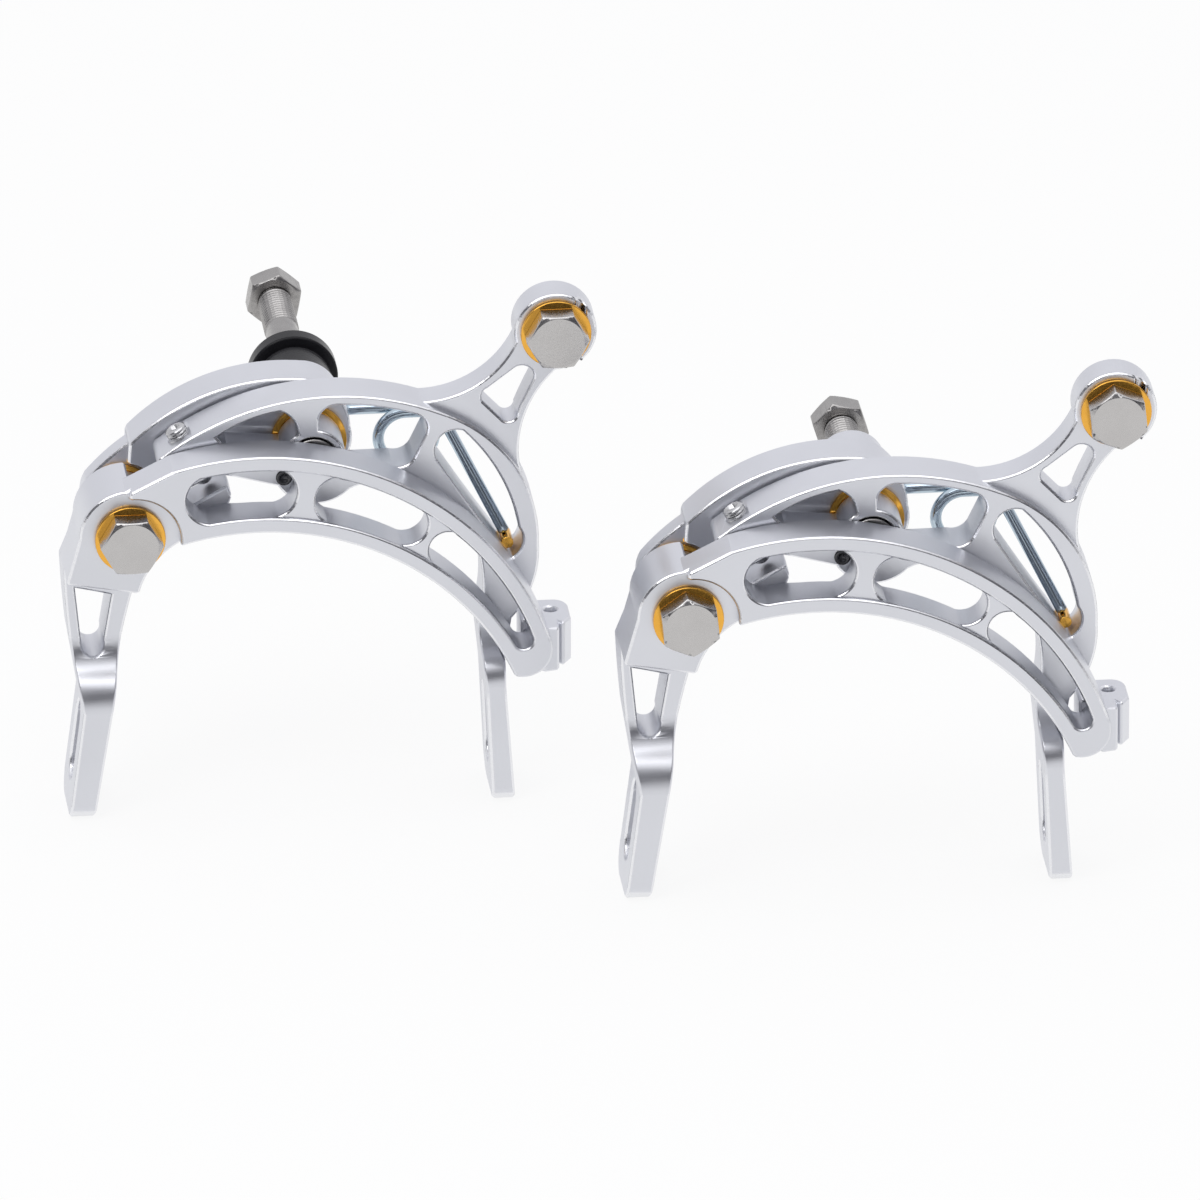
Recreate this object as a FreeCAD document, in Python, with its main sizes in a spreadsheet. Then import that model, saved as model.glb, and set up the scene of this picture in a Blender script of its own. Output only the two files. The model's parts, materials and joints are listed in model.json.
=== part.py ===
import FreeCAD, Part
import math
import os
from FreeCAD import Placement, Rotation, Vector

# A pair of dual-pivot side-pull caliper brakes in machined aluminium, in millimetres.
# One brake's own frame: X to the right, Y to the rear along the mounting bolt, Z up.
# Its origin lies on the mounting bolt's axis at the rear face of the bracket's hub.

DRIVING_SIZES = {
    # Where the pivots and the cable clamp lie, from the mounting bolt's axis
    "side_pivot_left": 34.1,
    "side_pivot_drop": 10.6,
    "pinch_right": 44.3,
    "pinch_rise": 22.4,
    # Depths of the layers, from the rear to the front
    "hub_depth": 19.0,
    "bracket_depth": 9.0,
    "bracket_step": 2.0,
    "bracket_end_depth": 4.4,
    "washer_thick": 1.0,
    "side_play": 0.1,
    "y_arm_depth": 9.0,
    "neck_recess": 2.2,
    "arm_gap": 0.6,
    "c_arm_depth": 8.2,
    "rim_height": 0.8,
    "boss_recess": 1.8,
    "spigot_length": 4.3,
    "leg_depth": 9.5,
    "shoe_step": 6.5,
    # Radii of the arms and bosses
    "hub_radius": 7.5,
    "y_hub_radius": 6.0,
    "boss_radius": 9.2,
    "spigot_radius": 5.6,
    "shoulder_radius": 8.5,
    "bracket_end_radius": 7.1,
    "pinch_boss_radius": 7.5,
    "c_outer_radius": 56.0,
    "c_centre_left": 11.0,
    "c_crown_rise": 5.0,
    "c_crown_width": 15.0,
    "c_tip_width": 8.1,
    "c_rim_width": 2.9,
    "leg_reach": 66.2,
    # Brake shoe slots and cable passages
    "shoe_slot_width": 6.4,
    "shoe_slot_length": 15.0,
    "cable_hole_radius": 1.1,
    "ferrule_radius": 2.6,
    "ferrule_depth": 6.0,
    "cable_groove_radius": 0.9,
    # Fasteners
    "bolt_radius": 3.0,
    "running_clearance": 0.05,
    "hex_flats": 10.0,
    "hex_head_height": 4.0,
    "washer_radius": 6.4,
    "thrust_radius": 6.9,
    "cap_head_radius": 4.2,
    "cap_head_height": 3.0,
    "nut_flats": 9.2,
    "nut_height": 5.0,
    "screw_radius": 2.0,
    "screw_tip_gap": 0.3,
    # Return spring
    "wire_radius": 1.05,
    "coil_radius": 5.2,
    "coil_pitch": 2.4,
    "coil_right": 18.2,
    "coil_drop": 1.7,
    "spring_pin_radius": 1.1,
    "spring_pin_length": 5.0,
    # Spacers and mounting bolts of the two brakes
    "front_spacer_length": 12.0,
    "front_spacer_radius": 6.9,
    "front_flange_radius": 8.2,
    "front_flange_length": 3.5,
    "front_groove_radius": 6.0,
    "front_groove_width": 1.2,
    "rear_spacer_length": 6.5,
    "rear_spacer_radius": 6.3,
    "front_nut_place": 43.5,
    "rear_nut_place": 20.5,
    "bolt_past_nut": 1.5,
    # Where the rear brake stands from the front brake
    "rear_brake_right": 96.5,
    "rear_brake_forward": 46.0,
}

doc = FreeCAD.newDocument("CaliperBrakes")
dims = doc.addObject("Spreadsheet::Sheet", "dims")
for row, (alias, value) in enumerate(DRIVING_SIZES.items(), start=1):
    dims.set("A%d" % row, alias)
    dims.set("B%d" % row, str(value))
    dims.setAlias("B%d" % row, alias)
doc.recompute()


def size(alias):
    return float(dims.get(alias))


# Places that several pieces share
PIVOT = (-size("side_pivot_left"), -size("side_pivot_drop"))
PINCH = (size("pinch_right"), size("pinch_rise"))
Y_BACK = size("hub_depth") + size("washer_thick") + size("side_play")
Y_FRONT = Y_BACK + size("y_arm_depth")
NECK_FRONT = Y_FRONT - size("neck_recess")
C_BACK = Y_FRONT + size("arm_gap")
C_FRONT = C_BACK + size("c_arm_depth")
THIN_FRONT = size("hub_depth") - size("bracket_step")
SPIGOT_BACK = THIN_FRONT + size("washer_thick") + size("side_play")
BOSS_BACK = SPIGOT_BACK + size("spigot_length")
BOSS_FACE = C_FRONT - size("boss_recess")
BRACKET_BACK = size("hub_depth") - size("bracket_depth")
LEG_FRONT = Y_BACK + size("leg_depth")
SHOE_FRONT = LEG_FRONT + size("shoe_step")
SHOE_MIDDLE = (Y_BACK + SHOE_FRONT) / 2


# The adjusting screw leans into the C-arm's ledge, whose face is square to it
SCREW_LEAN = math.radians(28.0)
SCREW_DOWN = (math.sin(SCREW_LEAN), -math.cos(SCREW_LEAN))
SCREW_ACROSS = (math.cos(SCREW_LEAN), math.sin(SCREW_LEAN))
SCREW_TOUCH = (PIVOT[0] + 15.2, PIVOT[1] + 5.1)
SCREW_HEIGHT = 11.6
LOBE_GAP = 2.6

# The return spring's coil and the pin that its long leg presses on
COIL = (size("coil_right"), -size("coil_drop"))
COIL_BACK = 14.4
SPRING_PIN = (35.55, -19.2)
SPRING_TIP = (35.1, -17.75)
SPRING_TIP_DEPTH = 23.5


def polar(centre, radius, degrees):
    turn = math.radians(degrees)
    return (centre[0] + radius * math.cos(turn), centre[1] + radius * math.sin(turn))


# The C-arm's outer arc, and an inner arc under its crown that leaves the tip its own width
TIP_TOP_BEARING = 18.5
TIP_LOW_BEARING = 12.5
C_OUTER = (-size("c_centre_left"), size("c_crown_rise") - size("c_outer_radius"))
TIP_TOP = polar(C_OUTER, size("c_outer_radius"), TIP_TOP_BEARING)
TIP_LOW = polar(C_OUTER, size("c_outer_radius") - size("c_tip_width"), TIP_LOW_BEARING)
CROWN_LOW = size("c_crown_rise") - size("c_crown_width")
TIP_RUN = TIP_LOW[0] - C_OUTER[0]
TIP_DROP = CROWN_LOW - TIP_LOW[1]
C_INNER_RADIUS = (TIP_RUN ** 2 + TIP_DROP ** 2) / (2 * TIP_DROP)
C_INNER = (C_OUTER[0], CROWN_LOW - C_INNER_RADIUS)


def level_with(centre, radius, height):
    """The point on the right half of a circle at a height."""
    return (centre[0] + math.sqrt(radius ** 2 - (height - centre[1]) ** 2), height)


def shifted(point, direction, distance):
    return (point[0] + direction[0] * distance, point[1] + direction[1] * distance)


def flat(point):
    return Vector(point[0], point[1], 0)


def new_body(label):
    body = doc.addObject("PartDesign::Body", label)
    body.Label = label
    return body


def new_sketch(body, name, role, offset):
    sketch = body.newObject("Sketcher::SketchObject", name)
    plane = [item for item in body.Origin.OriginFeatures if item.Role == role][0]
    sketch.AttachmentSupport = [(plane, "")]
    sketch.MapMode = "FlatFace"
    sketch.AttachmentOffset = Placement(Vector(0, 0, offset), Rotation())
    return sketch


def draw(sketch, start, *stretches):
    """A closed outline: each stretch is a point for a line, or two for an arc through the first."""
    here = start
    for stretch in list(stretches) + [(start,)]:
        target = stretch[-1]
        if len(stretch) == 2:
            sketch.addGeometry(Part.Arc(flat(here), flat(stretch[0]), flat(target)), False)
        elif here != target:
            sketch.addGeometry(Part.LineSegment(flat(here), flat(target)), False)
        here = target


def draw_circle(sketch, centre, radius):
    sketch.addGeometry(Part.Circle(flat(centre), Vector(0, 0, 1), radius), False)


def pad(body, sketch, name, length):
    feature = body.newObject("PartDesign::Pad", name)
    feature.Profile = sketch
    if isinstance(length, str):
        feature.setExpression("Length", length)
    else:
        feature.Length = length
    return feature


def pocket(body, sketch, name, length):
    feature = body.newObject("PartDesign::Pocket", name)
    feature.Profile = sketch
    if isinstance(length, str):
        feature.setExpression("Length", length)
    else:
        feature.Length = length
    return feature


def drill(body, name, start, direction, radius, length):
    """A round hole from a point along a direction, given as an alias or a radius."""
    feature = body.newObject("PartDesign::SubtractiveCylinder", name)
    if isinstance(radius, str):
        feature.setExpression("Radius", radius)
    else:
        feature.Radius = radius
    feature.Height = length
    feature.Placement = Placement(start, Rotation(Vector(0, 0, 1), direction))
    return feature


REAR = Vector(0, 1, 0)


def along(place, depth):
    """A point of the X-Z plane at a depth in front of the hub's rear face."""
    return Vector(place[0], -depth, place[1])


def shape_shoe_plate(body, right, span, leg_front, step_top, step_bottom, bottom):
    """Gives a leg its bend in side view: forward to the shoe plate, and a rounded lower end."""
    rise = (step_top - step_bottom) / 2
    run = (SHOE_FRONT - leg_front) / 2
    bend = (run * run + rise * rise) / (2 * run)
    half = math.asin(rise / bend) / 2
    upper = (-leg_front - bend * (1 - math.cos(half)), step_top - bend * math.sin(half))
    middle = (-leg_front - run, step_top - rise)
    lower = (-SHOE_FRONT + bend * (1 - math.cos(half)), step_bottom + bend * math.sin(half))
    past = -SHOE_FRONT - 1
    sketch = new_sketch(body, "BendSide", "YZ_Plane", right)
    draw(sketch, (-leg_front, step_top), (upper, middle), (lower, (-SHOE_FRONT, step_bottom)),
         ((past, step_bottom),), ((past, step_top),))
    pocket(body, sketch, "Bend", span)
    rear_round = 5.0
    front_round = 2.5
    diagonal = 1 - math.sqrt(0.5)
    sketch = new_sketch(body, "EndSide", "YZ_Plane", right)
    draw(sketch, (-Y_BACK, bottom + rear_round),
         ((-Y_BACK - rear_round * diagonal, bottom + rear_round * diagonal),
          (-Y_BACK - rear_round, bottom)),
         ((-SHOE_FRONT + front_round, bottom),),
         ((-SHOE_FRONT + front_round * diagonal, bottom + front_round * diagonal),
          (-SHOE_FRONT, bottom + front_round)),
         ((past, bottom + front_round),), ((past, bottom - 3),), ((-Y_BACK + 1, bottom - 3),),
         ((-Y_BACK + 1, bottom + rear_round),))
    pocket(body, sketch, "RoundedEnd", span)
    half_width = size("shoe_slot_width") / 2
    slot_bottom = bottom + 5.2 + half_width
    slot_top = slot_bottom + size("shoe_slot_length") - 2 * half_width
    sketch = new_sketch(body, "SlotSide", "YZ_Plane", right)
    draw(sketch, (-SHOE_MIDDLE - half_width, slot_bottom),
         ((-SHOE_MIDDLE, slot_bottom - half_width), (-SHOE_MIDDLE + half_width, slot_bottom)),
         ((-SHOE_MIDDLE + half_width, slot_top),),
         ((-SHOE_MIDDLE, slot_top + half_width), (-SHOE_MIDDLE - half_width, slot_top)))
    pocket(body, sketch, "ShoeSlot", span)


def arc_window(sketch, start, end):
    """A slot along the C-arm between its rims, from one bearing to another, with round ends."""
    rim = size("c_rim_width")
    upper = size("c_outer_radius") - rim
    lower = C_INNER_RADIUS + rim

    def ray(centre, radius, degrees):
        middle = ((C_OUTER[0] + C_INNER[0]) / 2, (C_OUTER[1] + C_INNER[1]) / 2)
        turn = math.radians(degrees)
        way = (math.cos(turn), math.sin(turn))
        offset = (middle[0] - centre[0], middle[1] - centre[1])
        along_way = offset[0] * way[0] + offset[1] * way[1]
        square = along_way ** 2 - offset[0] ** 2 - offset[1] ** 2 + radius ** 2
        return shifted(middle, way, math.sqrt(square) - along_way)

    def bulge(degrees, sign):
        first = ray(C_OUTER, upper, degrees)
        second = ray(C_INNER, lower, degrees)
        half = math.dist(first, second) / 2
        turn = math.radians(degrees)
        out = (-math.sin(turn) * sign, math.cos(turn) * sign)
        return shifted(((first[0] + second[0]) / 2, (first[1] + second[1]) / 2), out, half * 0.75)

    middle = (start + end) / 2
    draw(sketch, ray(C_OUTER, upper, start),
         (ray(C_OUTER, upper, middle), ray(C_OUTER, upper, end)),
         (bulge(end, -1), ray(C_INNER, lower, end)),
         (ray(C_INNER, lower, middle), ray(C_INNER, lower, start)),
         (bulge(start, 1), ray(C_OUTER, upper, start)))


def make_c_arm(label):
    """The front arm: an arc with three windows, a boss on the side pivot, a leg and a cable stop."""
    body = new_body(label)
    radius = size("boss_radius")
    left_foot = (PIVOT[0] - 11.6, PIVOT[1] - 8.8)
    right_foot = (PIVOT[0] + 1.6, PIVOT[1] - 11.2)
    outer = size("c_outer_radius")
    inner = C_INNER_RADIUS
    under_boss = polar(C_INNER, inner, 106)
    hollow = (PIVOT[0] + 4.1, PIVOT[1] - 5.8)

    # The arc with its boss plate
    sketch = new_sketch(body, "ArcFront", "XZ_Plane", C_BACK)
    draw(sketch, left_foot, (polar(PIVOT, radius, 180),),
         (polar(PIVOT, radius, 140), polar(PIVOT, radius, 95)),
         (polar(C_OUTER, outer, 106),),
         (polar(C_OUTER, outer, 66), TIP_TOP),
         ((TIP_TOP[0] + 0.2, TIP_LOW[1] + 3.2), TIP_LOW),
         (polar(C_INNER, inner, 65), under_boss),
         (hollow, right_foot))
    pad(body, sketch, "Arc", "dims.c_arm_depth")

    # The boss behind it, with a ledge for the adjusting screw, and a spigot back to the bracket
    sketch = new_sketch(body, "SpigotFront", "XZ_Plane", SPIGOT_BACK)
    draw_circle(sketch, PIVOT, size("spigot_radius"))
    pad(body, sketch, "Spigot", C_BACK - SPIGOT_BACK)
    sketch = new_sketch(body, "BossFront", "XZ_Plane", BOSS_BACK)
    ledge_left = shifted(SCREW_TOUCH, SCREW_ACROSS, -5.2)
    ledge_right = shifted(SCREW_TOUCH, SCREW_ACROSS, 3.6)
    draw(sketch, left_foot, (polar(PIVOT, radius, 180),),
         (polar(PIVOT, radius, 130), polar(PIVOT, radius, 88)),
         ((PIVOT[0] + 1.0, PIVOT[1] + 4.5),), (ledge_left,), (ledge_right,), ((ledge_right[0] + 0.8, ledge_right[1] - 2.2),),
         ((ledge_right[0] - 1.0, ledge_right[1] - 6.6),),
         (under_boss,), (hollow, right_foot))
    pad(body, sketch, "Boss", C_BACK - BOSS_BACK)

    # The leg, set back from the boss plate, and the thicker shoe plate under it
    step_top = PIVOT[1] - 21.9
    step_bottom = PIVOT[1] - 34.6
    bottom = -size("leg_reach")
    knee_left = (PIVOT[0] - 10.65, step_top)
    knee_right = (PIVOT[0] - 1.05, step_top)
    plate_left = (PIVOT[0] - 8.6, step_bottom)
    plate_right = (PIVOT[0] - 3.2, step_bottom)
    end_left = (plate_left[0] - 2.7, bottom)
    end_right = (plate_right[0] - 3.4, bottom)
    leg_high = (PIVOT[0] - 9.4, PIVOT[1] - 3.3)
    sketch = new_sketch(body, "LegFront", "XZ_Plane", Y_BACK)
    draw(sketch, leg_high, (left_foot,), ((PIVOT[0] - 11.3, PIVOT[1] - 14.4), knee_left),
         (plate_left,), (end_left,), (end_right,), (plate_right,), (knee_right,),
         ((PIVOT[0] + 0.2, PIVOT[1] - 16.4), right_foot), ((PIVOT[0], PIVOT[1] - 3.3),))
    pad(body, sketch, "Leg", "dims.leg_depth")
    sketch = new_sketch(body, "PlateFront", "XZ_Plane", LEG_FRONT)
    draw(sketch, knee_left, (plate_left,), (end_left,), (end_right,), (plate_right,),
         (knee_right,))
    pad(body, sketch, "ShoePlate", "dims.shoe_step")

    # The cable stop on the rear of the arc's free end
    stop_left = TIP_TOP[0] - 4.5
    stop_right = TIP_TOP[0] + 4.7
    stop_top = TIP_TOP[1] + 0.2
    stop_bottom = TIP_LOW[1] - 1.0
    stop_rear = Y_BACK + 0.6
    corner = 3.0
    sketch = new_sketch(body, "StopTop", "XY_Plane", stop_bottom)
    draw(sketch, (stop_left, -C_BACK - 1), ((TIP_TOP[0] - 0.6, -C_BACK - 4.6),),
         ((TIP_TOP[0] + 2.1, -C_BACK - 4.0),), ((TIP_TOP[0] + 2.3, -C_BACK - 1.2),),
         ((TIP_TOP[0] + 3.1, -C_BACK - 2.0),), ((stop_right, -C_BACK + 0.6),),
         ((stop_right, -stop_rear - corner),),
         ((stop_right - 0.8, -stop_rear - 0.8), (stop_right - corner, -stop_rear)),
         ((stop_left + 1.5, -stop_rear),),
         ((stop_left + 0.4, -stop_rear - 0.4), (stop_left, -stop_rear - 1.5)))
    pad(body, sketch, "CableStop", stop_top - stop_bottom)

    # Windows: the webs between them lie lower than the rims
    sketch = new_sketch(body, "RimFront", "XZ_Plane", C_FRONT)
    first_bearing = 100.3
    last_bearing = 24.5
    arc_window(sketch, first_bearing, last_bearing)
    pocket(body, sketch, "Rims", "dims.rim_height")
    for name, start, end in (("First", first_bearing, 86.0), ("Second", 75.0, 58.5),
                             ("Third", 50.5, last_bearing)):
        sketch = new_sketch(body, name + "WindowFront", "XZ_Plane", C_FRONT)
        arc_window(sketch, start, end)
        pocket(body, sketch, name + "Window", "dims.c_arm_depth")
    sketch = new_sketch(body, "LegWindowFront", "XZ_Plane", SHOE_FRONT)
    draw(sketch, (PIVOT[0] - 9.5, PIVOT[1] - 12.4), ((PIVOT[0] - 8.4, PIVOT[1] - 23.4),),
         ((PIVOT[0] - 6.4, PIVOT[1] - 25.6), (PIVOT[0] - 4.4, PIVOT[1] - 23.0)),
         ((PIVOT[0] - 2.9, PIVOT[1] - 14.0),))
    pocket(body, sketch, "LegWindow", SHOE_FRONT - Y_BACK)

    shape_shoe_plate(body, PIVOT[0] + 1.5, 16.0, LEG_FRONT, step_top, step_bottom, bottom)

    # The face round the pivot is set back, behind a round shoulder
    shoulder = (PIVOT[0] + 0.6, PIVOT[1] - 0.4)
    turn = size("shoulder_radius")
    beyond = 2 * size("boss_radius")
    sketch = new_sketch(body, "BossFaceFront", "XZ_Plane", C_FRONT)
    draw(sketch, polar(shoulder, turn, 95), (polar(shoulder, turn, 40), polar(shoulder, turn, -15)),
         ((PIVOT[0] + turn, PIVOT[1] - beyond),), ((PIVOT[0] - beyond, PIVOT[1] - beyond),),
         ((PIVOT[0] - beyond, PIVOT[1] + beyond),), ((PIVOT[0], PIVOT[1] + beyond),))
    pocket(body, sketch, "BossFace", "dims.boss_recess")

    # The pivot's bore, the cable hole and the ferrule seat
    drill(body, "PivotBore", along(PIVOT, C_FRONT + 1), REAR,
          "dims.bolt_radius + dims.running_clearance", C_FRONT)
    cable = Vector(TIP_TOP[0] + 1.3, -(C_BACK + stop_rear) / 2, stop_top + 1)
    down = Vector(0, 0, -1)
    drill(body, "CableHole", cable, down, "dims.cable_hole_radius", 30)
    seat = Vector(cable.x, cable.y, stop_bottom + size("ferrule_depth"))
    drill(body, "FerruleSeat", seat, down, "dims.ferrule_radius", 30)
    return body


def make_y_arm(label):
    """The middle arm: a ring on the mounting bolt, a neck to the cable clamp and the other leg."""
    body = new_body(label)
    lobe = shifted(SCREW_TOUCH, SCREW_DOWN, -LOBE_GAP)
    lobe_left = shifted(lobe, SCREW_ACROSS, -3.2)
    lobe_right = shifted(lobe, SCREW_ACROSS, 3.0)
    crown_right = (23.1, 8.5)
    widest = (41.0, -18.5)
    step_top = -33.0
    step_bottom = -43.3
    bottom = -size("leg_reach")
    # The leg hangs inside the C-arm's inner arc
    clear = C_INNER_RADIUS - size("arm_gap")
    beside = level_with(C_INNER, clear, step_bottom)[0]
    knee_left = (beside - 6.6, step_top)
    knee_right = (beside - 0.2, step_top)
    plate_left = (beside - 5.5, step_bottom)
    plate_right = (beside - 1.9, step_bottom)
    end_left = (plate_left[0] + 1.1, bottom)
    end_right = (plate_right[0] + 1.7, bottom)

    # The ring with its leg
    sketch = new_sketch(body, "RingFront", "XZ_Plane", Y_BACK)
    draw(sketch, lobe_left, ((lobe_left[0] - 4.9, lobe_left[1] + 4.2),),
         ((lobe_left[0] - 5.5, lobe_left[1] + 5.6), (lobe_left[0] - 4.6, lobe_left[1] + 6.8)),
         ((1.5, 12.6), crown_right), ((35.6, -1.0), widest), ((39.7, -27.0), knee_right),
         (plate_right,), (end_right,), (end_left,), (plate_left,), (knee_left,),
         ((30.4, -21.5), (24.5, -9.5)), ((16.5, -4.9), (6.5, -6.0)),
         ((0.0, -8.6), (-6.5, -4.8)), (lobe_right,))
    pad(body, sketch, "Ring", "dims.y_arm_depth")
    # The shoe plate steps forward beside the C-arm's free end, clear of its inner arc
    beside_top = level_with(C_INNER, clear, step_top)
    beside_middle = level_with(C_INNER, clear, step_top - 3.0)
    beside_low = level_with(C_INNER, clear, step_top - 6.0)
    sketch = new_sketch(body, "PlateFront", "XZ_Plane", Y_FRONT)
    draw(sketch, knee_left, (plate_left,), (end_left,), (end_right,), (plate_right,),
         (beside_low,), (beside_middle, beside_top))
    pad(body, sketch, "ShoePlate", SHOE_FRONT - Y_FRONT)

    # The neck and the round boss of the cable clamp, set back from the ring's face
    radius = size("pinch_boss_radius")
    sketch = new_sketch(body, "NeckFront", "XZ_Plane", Y_BACK)
    under = polar(PINCH, radius, 270)
    shoulder = polar(PINCH, radius, 193)
    draw(sketch, (15.0, 10.4), ((28.5, 11.9), shoulder),
         (polar(PINCH, radius, 60), under),
         ((39.0, 7.0), (37.6, 0.5)), ((37.65, -2.5), (38.3, -5.5)), ((31.0, -5.5),), ((23.0, 4.0),))
    pad(body, sketch, "Neck", "dims.y_arm_depth - dims.neck_recess")

    # The ring's windows and the neck's
    hub = size("y_hub_radius")
    centre = (0.0, 0.0)
    sketch = new_sketch(body, "LeftWindowFront", "XZ_Plane", Y_FRONT)
    draw(sketch, (-17.6, 5.4), ((-11.2, 8.7), (-6.0, 9.95)),
         ((-4.5, 9.0), polar(centre, hub, 118)),
         (polar(centre, hub, 140), polar(centre, hub, 162)), ((-15.6, 2.8),))
    pocket(body, sketch, "LeftWindow", "dims.y_arm_depth")
    sketch = new_sketch(body, "MiddleWindowFront", "XZ_Plane", Y_FRONT)
    draw(sketch, polar(centre, hub, 80), ((1.0, 8.2),), ((2.2, 10.0), (4.5, 10.75)),
         ((11.3, 10.1), (18.4, 8.3)),
         ((20.4, 6.6), (20.4, 4.3)), ((18.2, -0.3),), ((16.8, -1.6), (14.4, -1.8)),
         (polar(centre, hub, -18),), (polar(centre, hub, 26), polar(centre, hub, 80)))
    pocket(body, sketch, "MiddleWindow", "dims.y_arm_depth")
    sketch = new_sketch(body, "RightWindowFront", "XZ_Plane", Y_FRONT)
    draw(sketch, (22.4, -0.6), ((23.2, 3.6), (27.2, 4.6)), ((33.5, -3.8), (37.3, -15.0)),
         ((37.7, -19.0), (35.9, -20.9)), ((29.0, -10.9), (22.4, -0.6)))
    pocket(body, sketch, "RightWindow", "dims.y_arm_depth")
    sketch = new_sketch(body, "NeckWindowFront", "XZ_Plane", NECK_FRONT)
    draw(sketch, (31.0, 9.4), ((30.9, 10.8), (32.0, 11.9)), ((36.8, 15.6),),
         ((39.0, 15.8), (40.2, 13.4)), ((38.2, 9.2), (37.2, 6.8)), ((36.0, 5.2), (34.4, 5.8)))
    pocket(body, sketch, "NeckWindow", "dims.y_arm_depth - dims.neck_recess")

    shape_shoe_plate(body, beside + 4.0, 12.0, Y_FRONT, step_top, step_bottom, bottom)

    # Bores: the pivot with a recess for the bolt's head, the clamp, the screw and the spring's pin
    drill(body, "PivotBore", along(centre, Y_FRONT + 1), REAR,
          "dims.bolt_radius + dims.running_clearance", Y_FRONT)
    drill(body, "HeadRecess", along(centre, Y_FRONT + 1), REAR, "dims.cap_head_radius + 0.25",
          1 + size("cap_head_height") + 2 * size("side_play"))
    drill(body, "ClampBore", along(PINCH, Y_FRONT + 1), REAR, "dims.bolt_radius", Y_FRONT)
    slot_top = Vector(PINCH[0] + 4.9, -NECK_FRONT, PINCH[1] + radius + 2)
    drill(body, "CableGroove", slot_top, Vector(-0.09, 0, -1), "dims.cable_groove_radius",
          2 * radius + 4)
    screw_top = shifted(SCREW_TOUCH, SCREW_DOWN, -SCREW_HEIGHT - 4)
    middle = (Y_BACK + Y_FRONT) / 2
    drill(body, "ScrewHole", along(screw_top, middle), Vector(SCREW_DOWN[0], 0, SCREW_DOWN[1]),
          "dims.screw_radius", SCREW_HEIGHT + 4)
    pin_half = size("spring_pin_length") / 2
    drill(body, "PinSeat", along(SPRING_PIN, SPRING_TIP_DEPTH + pin_half), REAR,
          "dims.spring_pin_radius", size("spring_pin_length"))
    return body


def make_bracket(label):
    """The fixed bracket behind the arms: a hub, and an arc out to the side pivot."""
    body = new_body(label)
    hub = size("hub_radius")
    centre = (0.0, 0.0)
    sketch = new_sketch(body, "HubFront", "XZ_Plane", 0.0)
    draw_circle(sketch, centre, hub)
    pad(body, sketch, "Hub", "dims.hub_depth")
    sketch = new_sketch(body, "ArcFront", "XZ_Plane", BRACKET_BACK)
    step = size("washer_radius") + size("arm_gap")
    draw(sketch, (-2.0, 12.0), ((4.4, 9.4), (hub + 0.2, 2.0)),
         (polar(centre, hub + 0.5, -60), polar(centre, hub + 0.2, -140)),
         ((-15.5, 0.6), polar(PIVOT, step, 35)), (polar(PIVOT, step, 58), polar(PIVOT, step, 80)),
         ((-32.6, 0.4),), ((-18.2, 9.8), (-2.0, 12.0)))
    pad(body, sketch, "Arc", "dims.bracket_depth")
    end_back = THIN_FRONT - size("bracket_end_depth")
    sketch = new_sketch(body, "EndFront", "XZ_Plane", end_back)
    end = size("bracket_end_radius")
    draw(sketch, (-27.0, 3.2), ((-33.4, -0.6), polar(PIVOT, end, 150)),
         (polar(PIVOT, end, 220), polar(PIVOT, end, 300)), ((-25.5, -3.6),))
    pad(body, sketch, "PivotEnd", "dims.bracket_end_depth")
    hole_length = size("hub_depth") + 2
    for name, place in (("BoltHole", centre), ("PivotThread", PIVOT)):
        drill(body, name, along(place, size("hub_depth") + 1), REAR, "dims.bolt_radius", hole_length)
    hole = Vector(hub + 2, -COIL_BACK, COIL[1] + size("coil_radius"))
    drill(body, "SpringHole", hole, Vector(-1, 0, 0), "dims.wire_radius", 5.2)
    return body


def cylinder(name, place, radius, height, direction=REAR):
    item = doc.addObject("Part::Cylinder", name)
    item.setExpression("Radius", radius)
    item.setExpression("Height", height)
    item.Placement = Placement(place, Rotation(Vector(0, 0, 1), direction))
    return item


def fused(label, pieces):
    item = doc.addObject("Part::MultiFuse", label)
    item.Shapes = pieces
    item.Label = label
    return item


def cut(label, base, tool):
    item = doc.addObject("Part::Cut", label)
    item.Base = base
    item.Tool = tool
    item.Label = label
    return item


def make_ring(label, place, outer, inner, length):
    """A washer or spacer whose front face is at a place."""
    solid = cylinder(label + "_solid", place, outer, length)
    bore = cylinder(label + "_bore", place, inner, length)
    return cut(label, solid, bore)


def hexagon(label, flats, place, height, turn):
    """A six-sided prism whose front face is at a place."""
    prism = doc.addObject("Part::Prism", label + "_hexagon")
    prism.Polygon = 6
    prism.setExpression("Circumradius", flats + " / 2 / cos(30)")
    prism.setExpression("Height", height)
    spin = Rotation(Vector(0, 1, 0), turn)
    prism.Placement = Placement(place, spin.multiply(Rotation(Vector(0, 0, 1), REAR)))
    return prism


def rounded_corners(label, base, flats, place, height, direction):
    """A hexagon with the corners of one face turned off; the direction leads away from that face."""
    cone = doc.addObject("Part::Cone", label + "_cone")
    cone.setExpression("Radius1", flats + " * 0.475")
    cone.setExpression("Radius2", "%s * 0.475 + %s / tan(30)" % (flats, height))
    cone.setExpression("Height", height)
    cone.Placement = Placement(place, Rotation(Vector(0, 0, 1), direction))
    head = doc.addObject("Part::Common", label)
    head.Base = base
    head.Tool = cone
    return head


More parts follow.
